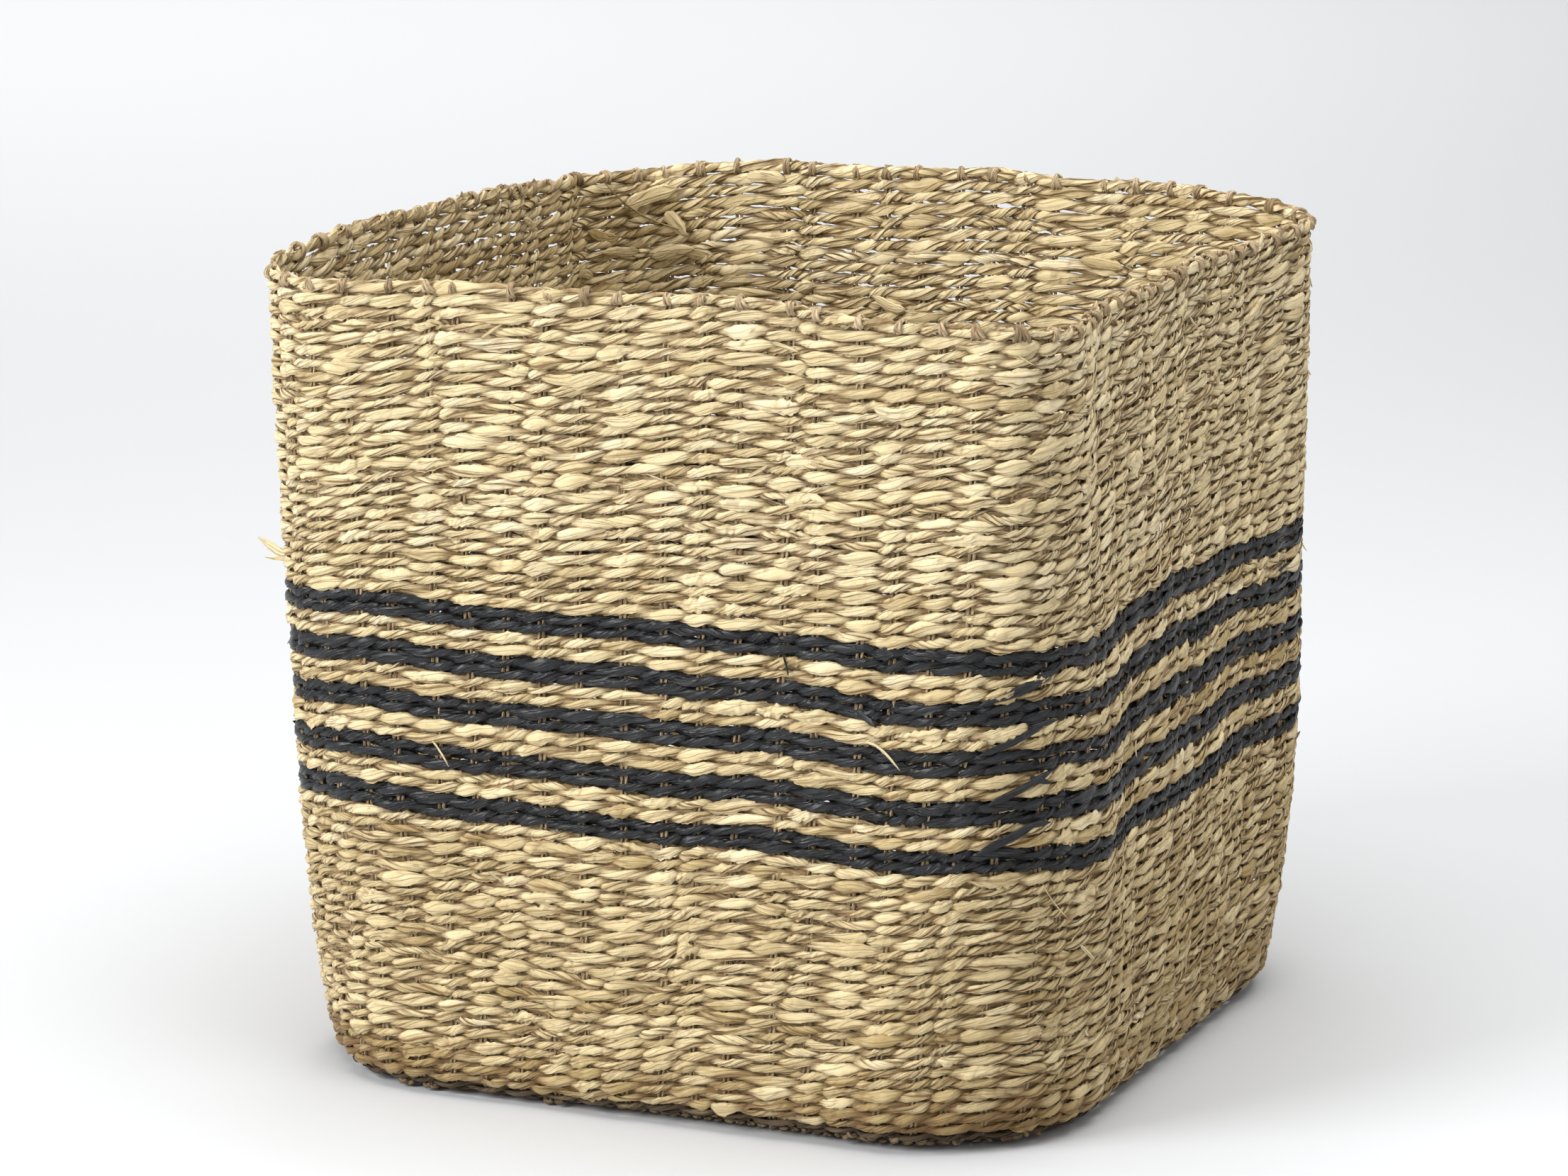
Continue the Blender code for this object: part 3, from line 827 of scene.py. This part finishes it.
def strays():
    """Loose ends, scraps of leaf and broken fibres, and the black weft carried up the front right corner."""
    pale, black = Mesh(), Mesh()
    band = BAND_COURSES * COURSE
    foot = climb_at(BANDS_FOOT)
    bands_end = foot + 9 * band
    for i in range(BLACK_BANDS - 1):  # the black weft carried up over the natural bands
        low = foot + (2 * i + 1) * band - 0.003
        for k in range(2):
            slope = rng.uniform(0.30, 0.38)
            place = rng.uniform(18.2, 18.8)
            loose(black, place, low + 0.002 * k, 0.034, slope, -0.001, 0.0017, 0.0010, 0.0, start=0.0030)
        place, length, slope = rng.uniform(19.2, 19.8), rng.uniform(0.010, 0.016), rng.uniform(-0.6, 0.3)
        loose(black, place, low + 0.012, length, slope, 0.003, 0.0014, 0.0007, 0.5)
    # single ends on the front and at the left edge
    loose(black, 13.3, foot + 8.1 * band, 0.0035, -2.6, 0.0015, 0.0006, 0.0005, 0.0, start=0.0034)
    loose(black, 15.2, foot + 6.2 * band, 0.012, -0.55, 0.0022, 0.0016, 0.0006, 0.4, start=0.0030)
    loose(pale, 15.3, foot + 5.0 * band, 0.024, -0.42, 0.0030, 0.0008, 0.0005, 0.9, curl=0.10, start=0.0030)
    loose(pale, 20.2, foot - 0.010, 0.012, -1.4, 0.0060, 0.0003, 0.0003, 0.9)
    loose(pale, -0.6, climb_at(0.262), -0.022, 0.10, 0.0130, 0.0024, 0.0006, 0.4, curl=-0.10)
    loose(pale, -0.5, climb_at(0.259), -0.018, -0.10, 0.0100, 0.0012, 0.0005, 0.8)
    for _ in range(26):  # short ends round the bands
        place, i = rng.uniform(0, STAKES), int(rng.integers(2 * BLACK_BANDS - 1))
        climb = foot + (i + rng.uniform(0.2, 0.9)) * band
        length = rng.uniform(0.005, 0.013) * rng.choice((-1, 1))
        slope, lift, half = rng.uniform(-1.2, 0.9), rng.uniform(0.002, 0.006), rng.uniform(0.0003, 0.0010)
        loose(pale if i % 2 else black, place, climb, length, slope, lift, half, 0.0004, rng.normal(0, 1))
    for _ in range(150):  # short thin ends on the natural walls
        place, climb = rng.uniform(0, STAKES), rng.uniform(0.04, climb_at(TOP))
        if foot - 0.004 < climb < bands_end + 0.004:
            continue
        length = rng.uniform(0.006, 0.018) * rng.choice((-1, 1))
        slope, lift, half = rng.uniform(-0.7, 0.7), rng.uniform(0.0005, 0.0035), rng.uniform(0.0003, 0.0011)
        tone, inside = rng.normal(0, 1), rng.random() < 0.4
        loose(pale, place, climb, length, slope, lift, half, 0.00035, tone, inside)
    for _ in range(60):  # broad leaves that lie on the natural walls
        place, climb = rng.uniform(0, STAKES), rng.uniform(0.08, climb_at(TOP))
        if foot - 0.008 < climb < bands_end + 0.008:
            continue
        length, slope, lift = rng.uniform(0.018, 0.030), rng.uniform(0.02, 0.30), rng.uniform(-0.001, 0.001)
        half, tone = rng.uniform(0.0026, 0.0042), rng.normal(0.2, 0.8)
        inside, curl = rng.random() < 0.4, rng.uniform(-0.1, 0.1)
        loose(pale, place, climb, length, slope, lift, half, 0.0011, tone, inside, curl)
    for _ in range(16):  # scraps inside the back left corner
        place, climb = rng.uniform(54.0, 64.0), climb_at(rng.uniform(0.290, 0.375))
        length = rng.uniform(0.014, 0.030) * rng.choice((-1, 1))
        slope, lift, half = rng.uniform(-0.25, 0.35), rng.uniform(0.000, 0.004), rng.uniform(0.0022, 0.0042)
        tone, curl = rng.normal(-1.6, 1), rng.uniform(-0.06, 0.06)
        loose(pale, place, climb, length, slope, lift, half, 0.0004, tone, True, curl)
    for place, height, length, slope, half in BROAD_SCRAPS:
        climb = climb_at(height)
        loose(pale, place, climb, length, slope, 0.0045, half, 0.0004, -1.0, True, 0.03, start=0.004)
    # the dark fibre across that corner
    climb = climb_at(0.398)
    loose(pale, 60.2, climb, -0.060, -0.62, 0.002, 0.0004, 0.0004, -4.0, True, -0.08, start=0.0045)
    pale.build("loose_leaves", straw, "natural_weave", [])
    black.build("loose_black_ends", charcoal, "black_weave", [])


BASE_PITCH = 0.0057  # from course to course
BASE_SPACING = 0.0195  # from stake to stake
BASE_STEPS = 5  # sections of a strand from stake to stake
BASE_MIDDLE = 0.0046  # height of the stakes' middle
BASE_OVERLAP = 0.004  # how far its courses reach under the wall
BASE_PIECES = 3


def base():
    """The base: brown courses running front to back, twined round the stakes that cross it."""
    low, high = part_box("base_inner")
    middle = Vector(((low.x + high.x) / 2, (low.y + high.y) / 2, 0))
    half_x, half_y = (high.x - low.x) / 2, (high.y - low.y) / 2
    radius = FOOT_RADIUS - EDGE_RADIUS
    rows = int(2 * half_x / BASE_PITCH)
    meshes = [Mesh() for _ in range(BASE_PIECES)]
    for i in range(rows):
        mesh = meshes[BASE_PIECES * i // rows]
        x = -half_x + (i + 0.5) * BASE_PITCH
        edge = max(abs(x) - (half_x - radius), 0)
        reach = half_y - radius + math.sqrt(max(radius**2 - edge**2, 0)) + BASE_OVERLAP
        count = int(2 * reach / BASE_SPACING * BASE_STEPS)
        y = np.linspace(-reach, reach, count)
        sections = [strand_sections(BROWN, 40, BASE_STEPS) for _ in range(2)]
        for k in range(2):
            cut = {key: value[:count] for key, value in sections[k].items()}
            phase = math.pi * (y / BASE_SPACING + k + i)
            forward = np.cos(phase)
            centre = np.stack(
                [middle.x + x + 0.0014 * np.sin(phase), middle.y + y, BASE_MIDDLE + 0.0020 * forward], -1
            )
            cut["half"] = 0.0020 + (1.15 * cut["half"] - 0.0020) * np.abs(forward)
            side = np.tile((1.0, 0.0, 0.0), (count, 1))
            out = np.tile((0.0, 0.0, 1.0), (count, 1))
            points, crease = tube(centre, side, out, cut, closed=False)
            mesh.add(points, crease, cut["tone"], closed=False)
    cords = Mesh()
    count = 60
    side, out = np.tile((0.0, 1.0, 0.0), (count, 1)), np.tile((0.0, 0.0, 1.0), (count, 1))
    for j in range(-int(half_y / BASE_SPACING), int(half_y / BASE_SPACING) + 1):
        edge = max(abs(j) * BASE_SPACING - (half_y - radius), 0)
        reach = half_x - radius + math.sqrt(max(radius**2 - edge**2, 0))
        for aside in (-0.0012, 0.0012):
            y = middle.y + j * BASE_SPACING + aside
            centre = np.array([(middle.x + x, y, BASE_MIDDLE) for x in np.linspace(-reach, reach, count)])
            sections = cord_sections(count, 0.0009, 20, 0.16, 0.03, rng.normal(0, 0.8))
            points, crease = tube(centre, side, out, sections, closed=False)
            cords.add(points, crease, sections["tone"], closed=False)
    cords.build("stakes_base", cord, "stake_cord", [])
    for number, mesh in enumerate(meshes):
        replaced = ["base_inner", "base_under"] if number == 1 else []
        mesh.build(f"base_weave_{number + 1}", umber, "base_weave", replaced)


weave_walls()
stakes()
rim_knots()
replace_stakes()
turned_ends()
strays()
base()

# ---------------------------------------------------------------- floor, light and camera


def plain(name, colour, roughness):
    made = bpy.data.materials.new(name)
    made.use_nodes = True
    shader = made.node_tree.nodes["Principled BSDF"]
    shader.inputs["Base Color"].default_value = colour
    shader.inputs["Roughness"].default_value = roughness
    shader.inputs["Specular IOR Level"].default_value = 0.1
    return made


def floor():
    mesh = bpy.data.meshes.new("floor")
    far = 30.0
    mesh.from_pydata([(-far, -far, 0), (far, -far, 0), (far, far, 0), (-far, far, 0)], [], [(0, 1, 2, 3)])
    mesh.materials.append(plain("floor_paint", (0.650, 0.664, 0.684, 1), 0.9))
    made = bpy.data.objects.new("floor", mesh)
    bpy.context.scene.collection.objects.link(made)


def area_light(name, place, aim, size, power, spread=180.0):
    light = bpy.data.lights.new(name, "AREA")
    light.shape = "SQUARE"
    light.size = size
    light.energy = power
    light.spread = math.radians(spread)
    made = bpy.data.objects.new(name, light)
    made.location = place
    made.rotation_euler = (Vector(aim) - Vector(place)).to_track_quat("-Z", "Y").to_euler()
    bpy.context.scene.collection.objects.link(made)


def lights():
    area_light("key", (-1.62, -2.32, 1.60), (0, 0, 0.2), 1.5, 78)
    area_light("top", (0.35, 0.0, 2.4), (0.2, 0, 0), 2.2, 56)
    area_light("sweep", (-2.7, 3.8, 3.2), (-2.7, 3.8, 0), 4.5, 54, spread=80.0)
    world = bpy.data.worlds.new("studio")
    world.use_nodes = True
    background = world.node_tree.nodes["Background"]
    background.inputs["Color"].default_value = (1.0, 0.985, 0.95, 1)
    background.inputs["Strength"].default_value = 0.55
    bpy.context.scene.world = world


AZIMUTH, ELEVATION, ROLL = math.radians(22.9), math.radians(12.1), math.radians(0.3)
DISTANCE = 3.0411
AIM_RIGHT, AIM_UP = -0.0113, 0.0232
AIM_HEIGHT = 0.200
FOCAL_WIDTHS = 8420.5 / 2212  # focal length in picture widths


def camera():
    back = Vector((
        math.sin(AZIMUTH) * math.cos(ELEVATION),
        -math.cos(AZIMUTH) * math.cos(ELEVATION),
        math.sin(ELEVATION),
    ))
    right = (-back).cross(Vector((0, 0, 1))).normalized()
    up = right.cross(-back)
    rolled_right = right * math.cos(ROLL) + up * math.sin(ROLL)
    rolled_up = up * math.cos(ROLL) - right * math.sin(ROLL)
    target = Vector((SHIFT[0], SHIFT[1], AIM_HEIGHT)) + right * AIM_RIGHT + up * AIM_UP
    data = bpy.data.cameras.new("camera")
    data.sensor_width = 36.0
    data.lens = 36.0 * FOCAL_WIDTHS
    data.clip_end = 100.0
    made = bpy.data.objects.new("camera", data)
    bpy.context.scene.collection.objects.link(made)
    turn = Matrix((rolled_right, rolled_up, back)).transposed()
    made.matrix_world = Matrix.Translation(target + back * DISTANCE) @ turn.to_4x4()
    bpy.context.scene.camera = made


floor()
lights()
camera()
bpy.context.scene.view_settings.view_transform = "Standard"
